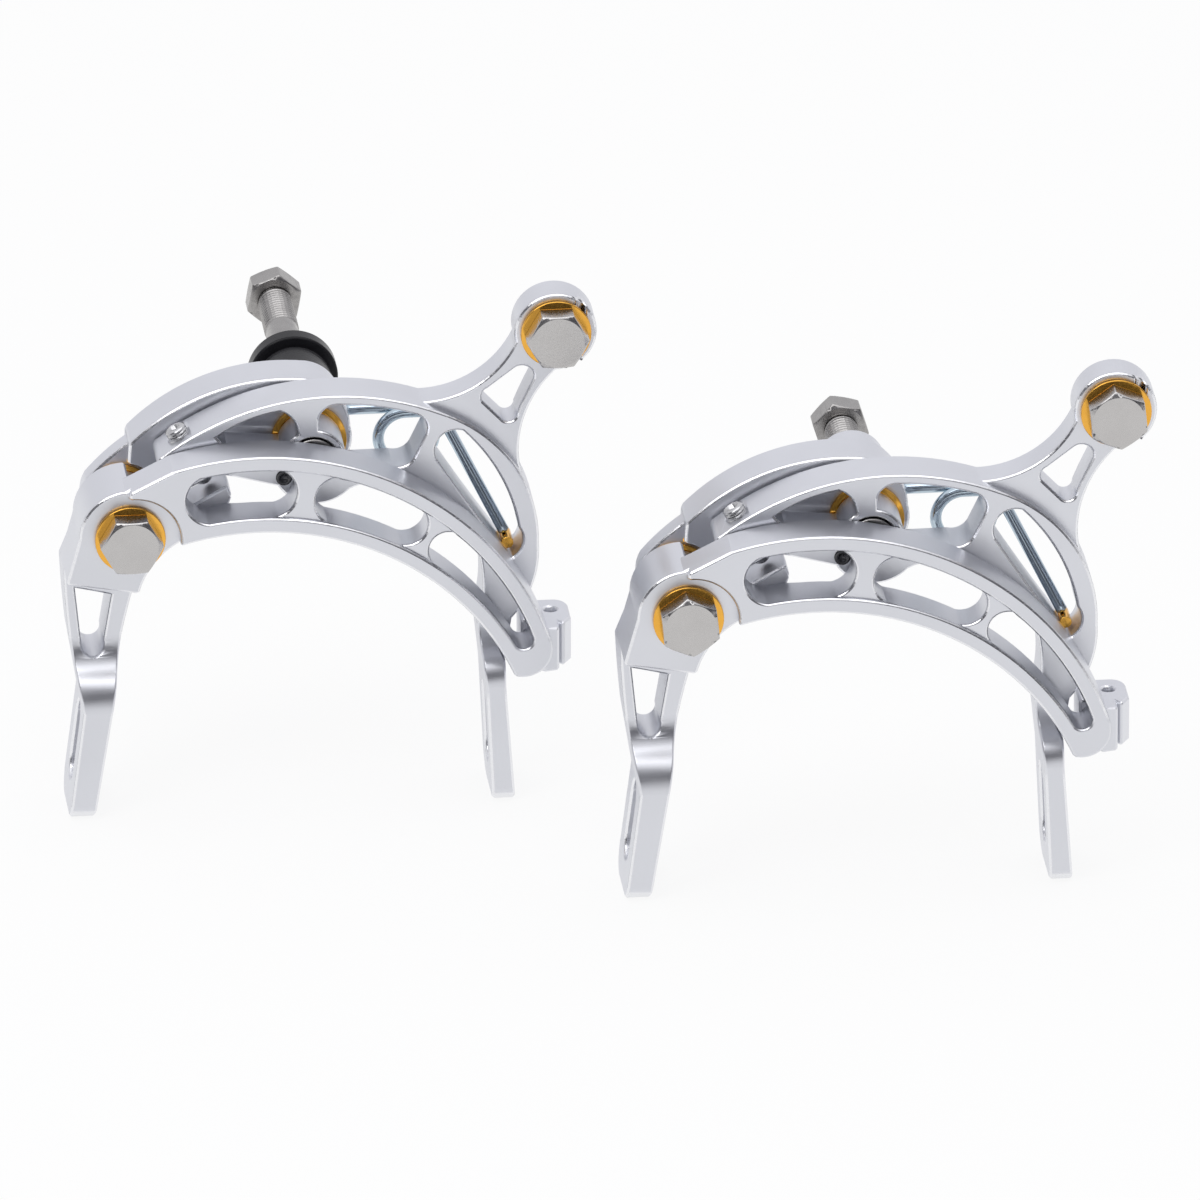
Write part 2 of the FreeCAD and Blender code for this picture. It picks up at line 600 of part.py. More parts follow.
def make_hex_bolt(label, place, depth, length, turn):
    """A hexagon bolt: depth is where its head meets the washer, length is its shank's."""
    front = along(place, depth + size("hex_head_height"))
    flats = "dims.hex_flats"
    height = "dims.hex_head_height"
    prism = hexagon(label, flats, front, height, turn)
    head = rounded_corners(label + "_head", prism, flats, front, height, REAR)
    shank = doc.addObject("Part::Cylinder", label + "_shank")
    shank.setExpression("Radius", "dims.bolt_radius")
    shank.Height = length
    shank.Placement = Placement(along(place, depth), Rotation(Vector(0, 0, 1), REAR))
    return fused(label, [head, shank])


def make_mounting_bolt(label, nut_place):
    """The long bolt from the Y-arm's hub through the bracket to the nut."""
    seat = Y_FRONT - size("cap_head_height") - size("side_play")
    head_front = along((0, 0), seat + size("cap_head_height"))
    head = cylinder(label + "_head", head_front, "dims.cap_head_radius", "dims.cap_head_height")
    shank = doc.addObject("Part::Cylinder", label + "_shank")
    shank.setExpression("Radius", "dims.bolt_radius")
    shank.Height = seat + nut_place + size("nut_height") + size("bolt_past_nut")
    shank.Placement = Placement(along((0, 0), seat), Rotation(Vector(0, 0, 1), REAR))
    return fused(label, [head, shank])


def make_nut(label, nut_place, turn):
    """A hexagon nut with the corners of both faces turned off."""
    front = along((0, 0), -nut_place)
    rear = front + REAR * size("nut_height")
    flats = "dims.nut_flats"
    height = "dims.nut_height"
    prism = hexagon(label, flats, front, height, turn)
    half = rounded_corners(label + "_half", prism, flats, front, height, REAR)
    both = rounded_corners(label + "_both", half, flats, rear, height, -REAR)
    return cut(label, both, cylinder(label + "_bore", front, "dims.bolt_radius", height))


def make_spring(label):
    """Round wire: from the bracket's hub along to one coil, then down to the Y-arm's pin."""
    wire = size("wire_radius")
    radius = size("coil_radius")
    pitch = size("coil_pitch")
    height = COIL[1] + radius
    start = Vector(size("hub_radius") - 3.2, -COIL_BACK, height)
    crown = Vector(COIL[0], -COIL_BACK, height)
    crown_end = Vector(COIL[0], -COIL_BACK - pitch, height)
    elbow = 3.4
    turn_start = Vector(COIL[0] + 3.7, crown_end.y, height)
    tip = along(SPRING_TIP, SPRING_TIP_DEPTH)
    # The long leg leans forward, into the Y-arm's window
    down = Vector(0, tip.y - crown_end.y, tip.z - height).normalize()
    elbow_centre = turn_start + down * elbow
    gap = tip - elbow_centre
    fall = gap.dot(down)
    lean = math.acos(elbow / math.hypot(gap.x, fall)) - math.atan2(fall, gap.x)
    turn_end = elbow_centre + Vector(elbow * math.cos(lean), 0, 0) - down * (elbow * math.sin(lean))
    half = (math.pi / 2 + lean) / 2
    turn_middle = elbow_centre + Vector(elbow * math.cos(half), 0, 0) - down * (elbow * math.sin(half))

    left_handed = True
    helix = Part.makeHelix(pitch, pitch, radius, 0, left_handed)
    helix.Placement = Placement(Vector(COIL[0], -COIL_BACK, COIL[1]), Rotation(Vector(0, 0, 1), -REAR))
    quarter_turn = 90
    helix.rotate(Vector(COIL[0], 0, COIL[1]), -REAR, quarter_turn)
    path = Part.Wire([
        Part.LineSegment(start, crown).toShape(),
        helix.Edges[0],
        Part.LineSegment(crown_end, turn_start).toShape(),
        Part.Arc(turn_start, turn_middle, turn_end).toShape(),
        Part.LineSegment(turn_end, tip).toShape(),
    ])
    profile = Part.Wire(Part.makeCircle(wire, start, Vector(1, 0, 0)))
    spring = doc.addObject("Part::Feature", label)
    spring.Shape = path.makePipeShell([profile], True, True)
    spring.Label = label
    return spring


def make_brake(prefix, nut_place, bolt_turn, nut_turn):
    """All the pieces of one brake, but for its spacer, in the brake's own frame."""
    pivot_front = along(PIVOT, BOSS_FACE + size("washer_thick"))
    clamp_front = along(PINCH, NECK_FRONT + size("washer_thick"))
    bore = "dims.bolt_radius"
    screw_start = shifted(SCREW_TOUCH, SCREW_DOWN, -SCREW_HEIGHT)
    screw_axis = Vector(SCREW_DOWN[0], 0, SCREW_DOWN[1])
    middle = (Y_BACK + Y_FRONT) / 2
    rod = doc.addObject("Part::Cylinder", prefix + "screw_rod")
    rod.setExpression("Radius", "dims.screw_radius")
    rod.Height = SCREW_HEIGHT - size("screw_tip_gap") - size("screw_radius")
    rod.Placement = Placement(along(screw_start, middle), Rotation(Vector(0, 0, 1), screw_axis))
    tip = doc.addObject("Part::Sphere", prefix + "screw_tip")
    tip.setExpression("Radius", "dims.screw_radius")
    tip_place = shifted(SCREW_TOUCH, SCREW_DOWN, -size("screw_tip_gap") - size("screw_radius"))
    tip.Placement = Placement(along(tip_place, middle), Rotation(Vector(0, 0, 1), screw_axis))
    screw = fused(prefix + "adjusting_screw", [rod, tip])
    pin = doc.addObject("Part::Cylinder", prefix + "spring_pin")
    pin.setExpression("Radius", "dims.spring_pin_radius")
    pin.setExpression("Height", "dims.spring_pin_length")
    pin_front = SPRING_TIP_DEPTH + size("spring_pin_length") / 2
    pin.Placement = Placement(along(SPRING_PIN, pin_front), Rotation(Vector(0, 0, 1), REAR))
    pin.Label = prefix + "spring_pin"
    pivot_length = BOSS_FACE + size("washer_thick") - THIN_FRONT + size("bracket_end_depth")
    clamp_length = NECK_FRONT + size("washer_thick") - Y_BACK
    return [
        make_bracket(prefix + "back_bracket"),
        make_c_arm(prefix + "c_arm"),
        make_y_arm(prefix + "y_arm"),
        make_mounting_bolt(prefix + "mounting_bolt", nut_place),
        make_nut(prefix + "mounting_nut", nut_place, nut_turn),
        make_ring(prefix + "centre_thrust_washer", along((0, 0), Y_BACK - size("side_play")),
                  "dims.thrust_radius", bore, "dims.washer_thick"),
        make_ring(prefix + "side_thrust_washer", along(PIVOT, SPIGOT_BACK - size("side_play")),
                  "dims.washer_radius", bore, "dims.washer_thick"),
        make_ring(prefix + "side_pivot_washer", pivot_front, "dims.washer_radius", bore,
                  "dims.washer_thick - dims.side_play"),
        make_hex_bolt(prefix + "side_pivot_bolt", PIVOT, BOSS_FACE + size("washer_thick"),
                      pivot_length, bolt_turn),
        make_ring(prefix + "pinch_washer", clamp_front, "dims.washer_radius", bore,
                  "dims.washer_thick"),
        make_hex_bolt(prefix + "pinch_bolt", PINCH, NECK_FRONT + size("washer_thick"),
                      clamp_length, bolt_turn),
        screw,
        pin,
        make_spring(prefix + "return_spring"),
    ]


def make_front_spacer(label):
    """A stepped spacer: a body against the hub, a groove and a wider flange behind it."""
    body_front = along((0, 0), 0)
    flange_front = Vector(0, size("front_spacer_length") - size("front_flange_length"), 0)
    body_length = "dims.front_spacer_length - dims.front_flange_length - dims.front_groove_width"
    solid = fused(label + "_solid", [
        cylinder(label + "_body", body_front, "dims.front_spacer_radius", body_length),
        cylinder(label + "_core", body_front, "dims.front_groove_radius", "dims.front_spacer_length"),
        cylinder(label + "_flange", flange_front, "dims.front_flange_radius",
                 "dims.front_flange_length"),
    ])
    bore = cylinder(label + "_bore", body_front, "dims.bolt_radius", "dims.front_spacer_length")
    return cut(label, solid, bore)


front = make_brake("front_", size("front_nut_place"), 0.0, -20.0)
front.append(make_front_spacer("front_spacer"))
rear = make_brake("rear_", size("rear_nut_place"), 24.0, 12.5)
rear.append(make_ring("rear_spacer", Vector(0, 0, 0), "dims.rear_spacer_radius", "dims.bolt_radius",
                      "dims.rear_spacer_length"))

# The pair's origin is where the front spacer seats. The rear brake stands to the right and nearer.
front_offset = Vector(0, -size("front_spacer_length"), 0)
rear_offset = front_offset + Vector(size("rear_brake_right"), -size("rear_brake_forward"), 0)
doc.recompute()
for brake, offset in ((front, front_offset), (rear, rear_offset)):
    for piece in brake:
        piece.Placement = Placement(offset, Rotation()).multiply(piece.Placement)
doc.recompute()

pieces = front + rear
for item in doc.Objects:
    if "Invalid" in item.State or "Error" in item.State:
        raise RuntimeError("%s did not build: %s" % (item.Label, item.State))
for piece in pieces:
    if piece.Shape.isNull() or not piece.Shape.isValid():
        raise RuntimeError("%s has no valid shape" % piece.Label)
    if len(piece.Shape.Solids) != 1:
        raise RuntimeError("%s has %d solids" % (piece.Label, len(piece.Shape.Solids)))

os.makedirs("parts", exist_ok=True)
for piece in pieces:
    piece.Shape.exportStep(os.path.join("parts", piece.Label + ".step"))
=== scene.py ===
import bmesh
import bpy
import json
import math
from mathutils import Matrix, Vector


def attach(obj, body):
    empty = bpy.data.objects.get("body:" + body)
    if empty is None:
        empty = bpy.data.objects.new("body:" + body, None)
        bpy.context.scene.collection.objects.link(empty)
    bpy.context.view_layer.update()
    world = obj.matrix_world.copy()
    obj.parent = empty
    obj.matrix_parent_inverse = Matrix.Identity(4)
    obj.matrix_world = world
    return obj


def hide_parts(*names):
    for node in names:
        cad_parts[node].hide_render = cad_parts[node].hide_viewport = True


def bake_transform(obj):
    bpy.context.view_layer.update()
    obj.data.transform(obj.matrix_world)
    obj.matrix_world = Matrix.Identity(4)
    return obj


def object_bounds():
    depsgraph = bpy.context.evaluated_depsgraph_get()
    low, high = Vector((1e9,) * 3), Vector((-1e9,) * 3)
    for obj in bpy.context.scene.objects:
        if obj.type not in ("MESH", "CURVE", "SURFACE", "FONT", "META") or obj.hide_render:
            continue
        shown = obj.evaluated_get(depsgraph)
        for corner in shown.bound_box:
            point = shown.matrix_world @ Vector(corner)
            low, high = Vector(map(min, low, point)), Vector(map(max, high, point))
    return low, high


# Dresses a pair of caliper brakes: satin aluminium arms, threads, wire springs, light and camera.
# Blender works in metres. Sizes of pieces are written in millimetres, and MM turns them into metres.
MM = 0.001

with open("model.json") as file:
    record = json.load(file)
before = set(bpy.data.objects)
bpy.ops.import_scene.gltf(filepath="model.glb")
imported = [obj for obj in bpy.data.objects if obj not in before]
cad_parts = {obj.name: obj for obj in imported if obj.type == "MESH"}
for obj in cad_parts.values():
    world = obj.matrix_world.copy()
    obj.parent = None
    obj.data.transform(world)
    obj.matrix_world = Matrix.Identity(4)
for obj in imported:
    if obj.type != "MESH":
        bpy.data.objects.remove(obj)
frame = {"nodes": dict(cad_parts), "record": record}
cad_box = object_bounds()
nodes = frame["nodes"]
scene = bpy.context.scene

# Each brake's own origin: on its mounting bolt, at the rear face of the bracket's hub
HUB_REAR = {
    "front": Vector((0.0, -12.0, 0.0)) * MM,
    "rear": Vector((96.5, -58.0, 0.0)) * MM,
}
REARWARD = Vector((0.0, 1.0, 0.0))


# Nodes that the materials and the world are made of

RISING = (0.0, 1.0)
FALLING = (1.0, 0.0)
EVENLY = (1.0, 1.0, 1.0)
# Most values of a noise lie between these two
NOISE_RANGE = (0.3, 0.7)
CLOUD_DETAIL = 4.0
GRAIN_DETAIL = 3.0
STREAK_DETAIL = 2.0
BUMP_DEPTH = 0.02


def new_material(name):
    """An empty node material, with its node tree, shader and output."""
    material = bpy.data.materials.new(name)
    material.use_nodes = True
    tree = material.node_tree
    tree.nodes.clear()
    output = tree.nodes.new("ShaderNodeOutputMaterial")
    shader = tree.nodes.new("ShaderNodeBsdfPrincipled")
    tree.links.new(shader.outputs["BSDF"], output.inputs["Surface"])
    return material, tree, shader


def feed(tree, socket, value):
    """Gives a socket a number, a colour or another node's output."""
    if isinstance(value, bpy.types.NodeSocket):
        tree.links.new(value, socket)
    else:
        socket.default_value = value


def math_node(tree, operation, first, second=None, clamp=False):
    """One Math node. Each input is a number or another node's output."""
    node = tree.nodes.new("ShaderNodeMath")
    node.operation = operation
    node.use_clamp = clamp
    for socket, value in zip(node.inputs, (first, second)):
        if value is not None:
            feed(tree, socket, value)
    return node.outputs[0]


def ranged(tree, value, limits, results):
    """Carries a value smoothly from one range to another, held at both ends."""
    node = tree.nodes.new("ShaderNodeMapRange")
    node.interpolation_type = "SMOOTHSTEP"
    tree.links.new(value, node.inputs["Value"])
    names = ("From Min", "From Max", "To Min", "To Max")
    for name, number in zip(names, (*limits, *results)):
        node.inputs[name].default_value = number
    return node.outputs["Result"]


def noise(tree, coordinates, scale, detail, stretch=EVENLY):
    """Noise over the object's own coordinates, stretched along its axes."""
    mapping = tree.nodes.new("ShaderNodeMapping")
    mapping.inputs["Scale"].default_value = stretch
    tree.links.new(coordinates, mapping.inputs["Vector"])
    texture = tree.nodes.new("ShaderNodeTexNoise")
    texture.inputs["Scale"].default_value = scale
    texture.inputs["Detail"].default_value = detail
    tree.links.new(mapping.outputs["Vector"], texture.inputs["Vector"])
    return texture.outputs["Fac"]


def bumped(tree, shader, height, strength):
    """Lets a height roughen the shader's surface."""
    bump = tree.nodes.new("ShaderNodeBump")
    bump.inputs["Strength"].default_value = strength
    bump.inputs["Distance"].default_value = BUMP_DEPTH * MM
    tree.links.new(height, bump.inputs["Height"])
    tree.links.new(bump.outputs["Normal"], shader.inputs["Normal"])


def opaque(colour):
    return (*colour, 1.0)


def mixed(tree, factor, first, second, data_type="FLOAT"):
    """A mix of two numbers or, with the type RGBA, of two colours, either of which may be a node's output."""
    node = tree.nodes.new("ShaderNodeMix")
    node.data_type = data_type
    tree.links.new(factor, node.inputs["Factor"])
    feed(tree, node.inputs["A"], first)
    feed(tree, node.inputs["B"], second)
    return node.outputs["Result"]


def object_coordinates(tree):
    return tree.nodes.new("ShaderNodeTexCoord").outputs["Object"]


# Satin aluminium with polished bevels, whose lighter base colour is partly a painted highlight

SATIN_DARK = (0.70, 0.71, 0.755)
SATIN_LIGHT = (0.76, 0.77, 0.81)
SATIN_ROUGHNESS = (0.36, 0.43)
SATIN_BUMP = 0.06
SATIN_CLOUD_SCALE = 90.0
BLAST_SCALE = 4200.0
# Lighter base colour of bevels and bends: partly real polish, partly a painted highlight
POLISHED_AND_HIGHLIGHT = (0.84, 0.845, 0.87)
POLISHED_ROUGHNESS = (0.18, 0.28)
STREAK_SCALE = 900.0
STREAK_STRETCH = (0.06, 1.0, 4.0)

# How far a face has to look to the front or back before the polish and its painted highlight set in, and
# where they end
OFF_WALL = (0.12, 0.34)
OFF_FLAT = (0.93, 0.985)

# The bends in the legs: the height of their middle, their reach from it, and the share of polish and painted
# highlight that is left there
LEG_BEND_MIDDLE = -39.0
LEG_BEND_REACH = 6.0
LEG_BEND_FADE = 1.0
LEG_BEND_POLISH_AND_HIGHLIGHT = 0.3


def slope_mask(tree, coordinates):
    """1 on bevels between a front or back face and a side, less on the legs' bends, 0 on flats; it places the
    polish and the painted highlight.
    """
    geometry = tree.nodes.new("ShaderNodeNewGeometry")
    split = tree.nodes.new("ShaderNodeSeparateXYZ")
    tree.links.new(geometry.outputs["Normal"], split.inputs["Vector"])
    lean = math_node(tree, "ABSOLUTE", split.outputs["Y"])
    off_wall = ranged(tree, lean, OFF_WALL, RISING)
    off_flat = ranged(tree, lean, OFF_FLAT, FALLING)
    place = tree.nodes.new("ShaderNodeSeparateXYZ")
    tree.links.new(coordinates, place.inputs["Vector"])
    above_bend = math_node(tree, "SUBTRACT", place.outputs["Z"], LEG_BEND_MIDDLE * MM)
    fade = ((LEG_BEND_REACH - LEG_BEND_FADE) * MM, (LEG_BEND_REACH + LEG_BEND_FADE) * MM)
    off_bend = ranged(tree, math_node(tree, "ABSOLUTE", above_bend), fade, (LEG_BEND_POLISH_AND_HIGHLIGHT, 1.0))
    return math_node(tree, "MULTIPLY", math_node(tree, "MULTIPLY", off_wall, off_flat), off_bend)


def silver_aluminium():
    """Bead-blasted aluminium, with polished bevels and bends that carry fine cutter streaks; their lighter
    base colour is partly a painted highlight.
    """
    material, tree, shader = new_material("satin_silver_aluminium")
    place = object_coordinates(tree)
    polish_and_highlight = slope_mask(tree, place)
    grain = noise(tree, place, BLAST_SCALE, GRAIN_DETAIL)
    cloud = noise(tree, place, SATIN_CLOUD_SCALE, CLOUD_DETAIL)
    streak = noise(tree, place, STREAK_SCALE, STREAK_DETAIL, STREAK_STRETCH)
    satin_tone = mixed(tree, cloud, opaque(SATIN_DARK), opaque(SATIN_LIGHT), "RGBA")
    # Faces sloped between front or back and a side get a lighter base colour, partly a painted highlight
    tone = mixed(tree, polish_and_highlight, satin_tone, opaque(POLISHED_AND_HIGHLIGHT), "RGBA")
    tree.links.new(tone, shader.inputs["Base Color"])
    shader.inputs["Metallic"].default_value = 1.0
    satin = ranged(tree, cloud, NOISE_RANGE, SATIN_ROUGHNESS)
    shine = ranged(tree, streak, NOISE_RANGE, POLISHED_ROUGHNESS)
    tree.links.new(mixed(tree, polish_and_highlight, satin, shine), shader.inputs["Roughness"])
    height = math_node(tree, "ADD", grain, math_node(tree, "MULTIPLY", streak, polish_and_highlight))
    bumped(tree, shader, height, SATIN_BUMP)
    return material


# The other finishes

METAL_CLOUD_SCALE = 260.0
ANODISED_DARK = (0.010, 0.010, 0.012)
ANODISED_LIGHT = (0.022, 0.022, 0.025)
ANODISED_ROUGHNESS = (0.18, 0.30)
ANODISED_IOR = 1.25
ANODISED_BUMP = 0.06
ANODISED_CLOUD_SCALE = 300.0
TURNED_SCALE = 1500.0
TURNED_STRETCH = (0.1, 3.0, 0.1)


def metal(name, dark, light, roughness, grain_scale, grain_strength):
    """Bare metal whose colour and polish vary a little."""
    material, tree, shader = new_material(name)
    place = object_coordinates(tree)
    cloud = noise(tree, place, METAL_CLOUD_SCALE, CLOUD_DETAIL)
    grain = noise(tree, place, grain_scale, GRAIN_DETAIL)
    tree.links.new(mixed(tree, cloud, opaque(dark), opaque(light), "RGBA"), shader.inputs["Base Color"])
    shader.inputs["Metallic"].default_value = 1.0
    tree.links.new(ranged(tree, grain, NOISE_RANGE, roughness), shader.inputs["Roughness"])
    bumped(tree, shader, grain, grain_strength)
    return material


def black_anodised():
    """Black anodised aluminium with faint marks from the lathe."""
    material, tree, shader = new_material("black_anodised_spacer")
    place = object_coordinates(tree)
    cloud = noise(tree, place, ANODISED_CLOUD_SCALE, CLOUD_DETAIL)
    turned_marks = noise(tree, place, TURNED_SCALE, STREAK_DETAIL, TURNED_STRETCH)
    tone = mixed(tree, cloud, opaque(ANODISED_DARK), opaque(ANODISED_LIGHT), "RGBA")
    tree.links.new(tone, shader.inputs["Base Color"])
    tree.links.new(ranged(tree, turned_marks, NOISE_RANGE, ANODISED_ROUGHNESS), shader.inputs["Roughness"])
    shader.inputs["IOR"].default_value = ANODISED_IOR
    bumped(tree, shader, turned_marks, ANODISED_BUMP)
    return material


SILVER = silver_aluminium()
STAINLESS = metal("stainless_bolts", dark=(0.50, 0.487, 0.48), light=(0.56, 0.547, 0.54),
                  roughness=(0.22, 0.30), grain_scale=2600.0, grain_strength=0.012)
ZINC = metal("zinc_plated_steel", dark=(0.46, 0.46, 0.47), light=(0.62, 0.62, 0.63),
             roughness=(0.16, 0.30), grain_scale=2200.0, grain_strength=0.05)
GOLD = metal("polished_gold_washers", dark=(0.76, 0.37, 0.05), light=(0.90, 0.50, 0.10),
             roughness=(0.12, 0.20), grain_scale=1800.0, grain_strength=0.03)
DULL = metal("dull_steel", dark=(0.30, 0.29, 0.285), light=(0.44, 0.43, 0.42),
             roughness=(0.24, 0.36), grain_scale=1500.0, grain_strength=0.03)
WIRE = metal("blue_zinc_wire", dark=(0.42, 0.51, 0.58), light=(0.58, 0.67, 0.74),
             roughness=(0.10, 0.20), grain_scale=1600.0, grain_strength=0.04)
DARK = metal("black_oxide_screws", dark=(0.045, 0.045, 0.05), light=(0.11, 0.11, 0.115),
             roughness=(0.16, 0.30), grain_scale=2400.0, grain_strength=0.06)
BLACK = black_anodised()
FINISHES = {
    "silver_aluminium": SILVER,
    "stainless_steel": STAINLESS,
    "zinc_steel": ZINC,
    "gold_washer": GOLD,
    "spring_wire": WIRE,
    "black_spacer": BLACK,
}
DULL_KINDS = ("mounting_bolt", "mounting_nut")


# Edges are broken by a small chamfer, wider on the milled arms

BEVELS = {
    "back_bracket": 0.5,
    "c_arm": 0.45,
    "y_arm": 0.45,
    "mounting_bolt": 0.25,
    "mounting_nut": 0.15,
    "pinch_bolt": 0.12,
    "side_pivot_bolt": 0.12,
    "spacer": 0.35,
}
PLAIN_BEVEL = 0.1
BEVEL_SEGMENTS = 3
BEVEL_ANGLE = math.radians(35)
SHARP_ANGLE = math.radians(25)
WELD_REACH = 0.001
FACE_WEIGHT = 100
# A bevel's profile is straight at 0.25 and round at 0.5
NEARLY_STRAIGHT = 0.32
# A thin corner of the shoe plate, from each brake's origin, that is too narrow for a chamfer
SHARP_CORNER = Vector((34.3, -29.1, -43.3)) * MM
SHARP_REACH = 3.0 * MM


def outward_edges():
    """Marks outward edges for the chamfer, clear of the shoe plate's thin corner.

    Other sharp edges stay crisp.
    """
    group = bpy.data.node_groups.new("outward_edges", "GeometryNodeTree")
    group.interface.new_socket("Geometry", in_out="INPUT", socket_type="NodeSocketGeometry")
    group.interface.new_socket("Geometry", in_out="OUTPUT", socket_type="NodeSocketGeometry")
    start = group.nodes.new("NodeGroupInput")
    end = group.nodes.new("NodeGroupOutput")
    angle = group.nodes.new("GeometryNodeInputMeshEdgeAngle")
    weight = math_node(group, "GREATER_THAN", angle.outputs["Signed Angle"], BEVEL_ANGLE)
    place = group.nodes.new("GeometryNodeInputPosition")
    for origin in HUB_REAR.values():
        gap = group.nodes.new("ShaderNodeVectorMath")
        gap.operation = "DISTANCE"
        group.links.new(place.outputs["Position"], gap.inputs[0])
        gap.inputs[1].default_value = origin + SHARP_CORNER
        clear = math_node(group, "GREATER_THAN", gap.outputs["Value"], SHARP_REACH)
        weight = math_node(group, "MULTIPLY", weight, clear)
    store = group.nodes.new("GeometryNodeStoreNamedAttribute")
    store.data_type = "FLOAT"
    store.domain = "EDGE"
    store.inputs["Name"].default_value = "bevel_weight_edge"
    group.links.new(start.outputs["Geometry"], store.inputs["Geometry"])
    group.links.new(weight, store.inputs["Value"])
    bends = math_node(group, "GREATER_THAN", angle.outputs["Unsigned Angle"], SHARP_ANGLE)
    crisp = group.nodes.new("GeometryNodeSetShadeSmooth")
    crisp.domain = "EDGE"
    crisp.inputs["Shade Smooth"].default_value = False
    group.links.new(math_node(group, "GREATER_THAN", bends, weight), crisp.inputs["Selection"])
    group.links.new(store.outputs["Geometry"], crisp.inputs["Geometry"])
    group.links.new(crisp.outputs["Geometry"], end.inputs["Geometry"])
    return group


OUTWARD_EDGES = outward_edges()


def soften_edges(item, width):
    """Chamfers the outward edges of a node by modifiers, and keeps its flats flat in the shading."""
    weld = item.modifiers.new("weld", "WELD")
    weld.merge_threshold = WELD_REACH * MM
    marks = item.modifiers.new("marks", "NODES")
    marks.node_group = OUTWARD_EDGES
    bevel = item.modifiers.new("bevel", "BEVEL")
    bevel.width = width * MM
    bevel.segments = BEVEL_SEGMENTS
    bevel.profile = NEARLY_STRAIGHT
    bevel.limit_method = "WEIGHT"
    bevel.face_strength_mode = "FSTR_ALL"
    bevel.use_clamp_overlap = False
    bevel.loop_slide = False
    normals = item.modifiers.new("normals", "WEIGHTED_NORMAL")
    normals.use_face_influence = True
    normals.keep_sharp = True
    normals.weight = FACE_WEIGHT


for part in frame["record"]["subparts"]:
    item = nodes[part["node"]]
    kind = part["node"].split("_", 1)[1]
    for place in item.material_slots:
        place.material = DULL if kind in DULL_KINDS else FINISHES[part["material_slot"]]
    soften_edges(item, BEVELS.get(kind, PLAIN_BEVEL))


# Meshes for new pieces

# A wire's rounded end: its length and its last radius, as shares of the wire's radius
CAP_LENGTH = 0.35
CAP_RADIUS = 0.6
# A thread has this many steps in a turn
THREAD_STEPS = 28
# Its ridge: half its foot as a share of the pitch, its crest as a share of its foot, and its foot's depth
RIDGE_FOOT = 0.42
RIDGE_CREST = 0.25
RIDGE_SUNK = 0.03


def new_piece(name, verts, faces):
    """A smooth-shaded object in the scene."""
    mesh = bpy.data.meshes.new(name)
    mesh.from_pydata([tuple(v) for v in verts], [], faces)
    mesh.validate()
    mesh.update()
    for face in mesh.polygons:
        face.use_smooth = True
    piece = bpy.data.objects.new(name, mesh)
    scene.collection.objects.link(piece)
    return piece


def outward(piece):
    """Turns all faces of a closed piece outwards."""
    shape = bmesh.new()
    shape.from_mesh(piece.data)
    bmesh.ops.recalc_face_normals(shape, faces=shape.faces)
    shape.to_mesh(piece.data)
    shape.free()


def lofted(name, outlines):
    """A closed skin through outlines that have as many points each."""
    sides = len(outlines[0])
    verts = [point for outline in outlines for point in outline]
    faces = []
    for i in range(len(outlines) - 1):
        for k in range(sides):
            other = (k + 1) % sides
            faces.append((i * sides + k, i * sides + other, (i + 1) * sides + other, (i + 1) * sides + k))
    faces.append(tuple(range(sides)))
    faces.append(tuple(range(len(verts) - sides, len(verts))))
    piece = new_piece(name, verts, faces)
    outward(piece)
    return piece


def square_to(axis):
    """Two directions at right angles to an axis and to each other."""
    first = axis.orthogonal().normalized()
    return first, axis.cross(first)


def circle(centre, first, second, radius, sides):
    """Points round a centre, in the plane of two directions."""
    turns = [2 * math.pi * k / sides for k in range(sides)]
    return [centre + (first * math.cos(t) + second * math.sin(t)) * radius for t in turns]


def tube(name, path, radius, sides):
    """A round wire along a path, with its ends rounded off."""
    rings = []
    across = REARWARD
    for i, point in enumerate(path):
        way = (path[min(i + 1, len(path) - 1)] - path[max(i - 1, 0)]).normalized()
        across = (across - way * across.dot(way)).normalized()
        rings.append((point, way, across, way.cross(across), radius))
    cap = CAP_LENGTH * radius
    first, last = rings[0], rings[-1]
    rings.insert(0, (first[0] - first[1] * cap, *first[1:4], radius * CAP_RADIUS))
    rings.append((last[0] + last[1] * cap, *last[1:4], radius * CAP_RADIUS))
    return lofted(name, [circle(point, across, beside, reach, sides)
                         for point, _, across, beside, reach in rings])


def thread(name, start, axis, length, radius, pitch, height):
    """A screw thread's ridge round a shank, which runs out at both ends."""
    first, second = square_to(axis)
    steps = int(length / pitch * THREAD_STEPS)
    foot = axis * (pitch * RIDGE_FOOT)
    top = foot * RIDGE_CREST
    outlines = []
    for i in range(steps + 1):
        turn = 2 * math.pi * i / THREAD_STEPS
        out = first * math.cos(turn) + second * math.sin(turn)
        middle = start + axis * (length * i / steps)
        low = out * (radius - RIDGE_SUNK * MM)
        high = out * (radius + height * min(1.0, i / THREAD_STEPS, (steps - i) / THREAD_STEPS))
        outlines.append([middle - foot + low, middle - top + high, middle + top + high, middle + foot + low])
    piece = lofted(name, outlines)
    for face in piece.data.polygons:
        face.use_smooth = False
    return piece


def turned(name, start, axis, profile, sides):
    """A lathe piece: the profile gives radii and distances along the axis, in millimetres."""
    first, second = square_to(axis)
    return lofted(name, [circle(start + axis * (distance * MM), first, second, radius * MM, sides)
                         for radius, distance in profile])


# The return springs, as wire round the coil and down to the pin

WIRE_RADIUS = 1.05
WIRE_SIDES = 16
WIRE_START = 4.3
WIRE_TIP = Vector((35.1, -23.5, -17.75))
COIL_CENTRE = (18.2, -1.7)
COIL_REAR = -14.4
COIL_RADIUS = 5.2
COIL_PITCH = 2.4
COIL_STEPS = 48
ELBOW_START = 21.9
ELBOW_RADIUS = 3.4
ELBOW_STEPS = 10
LEG_STEPS = 24


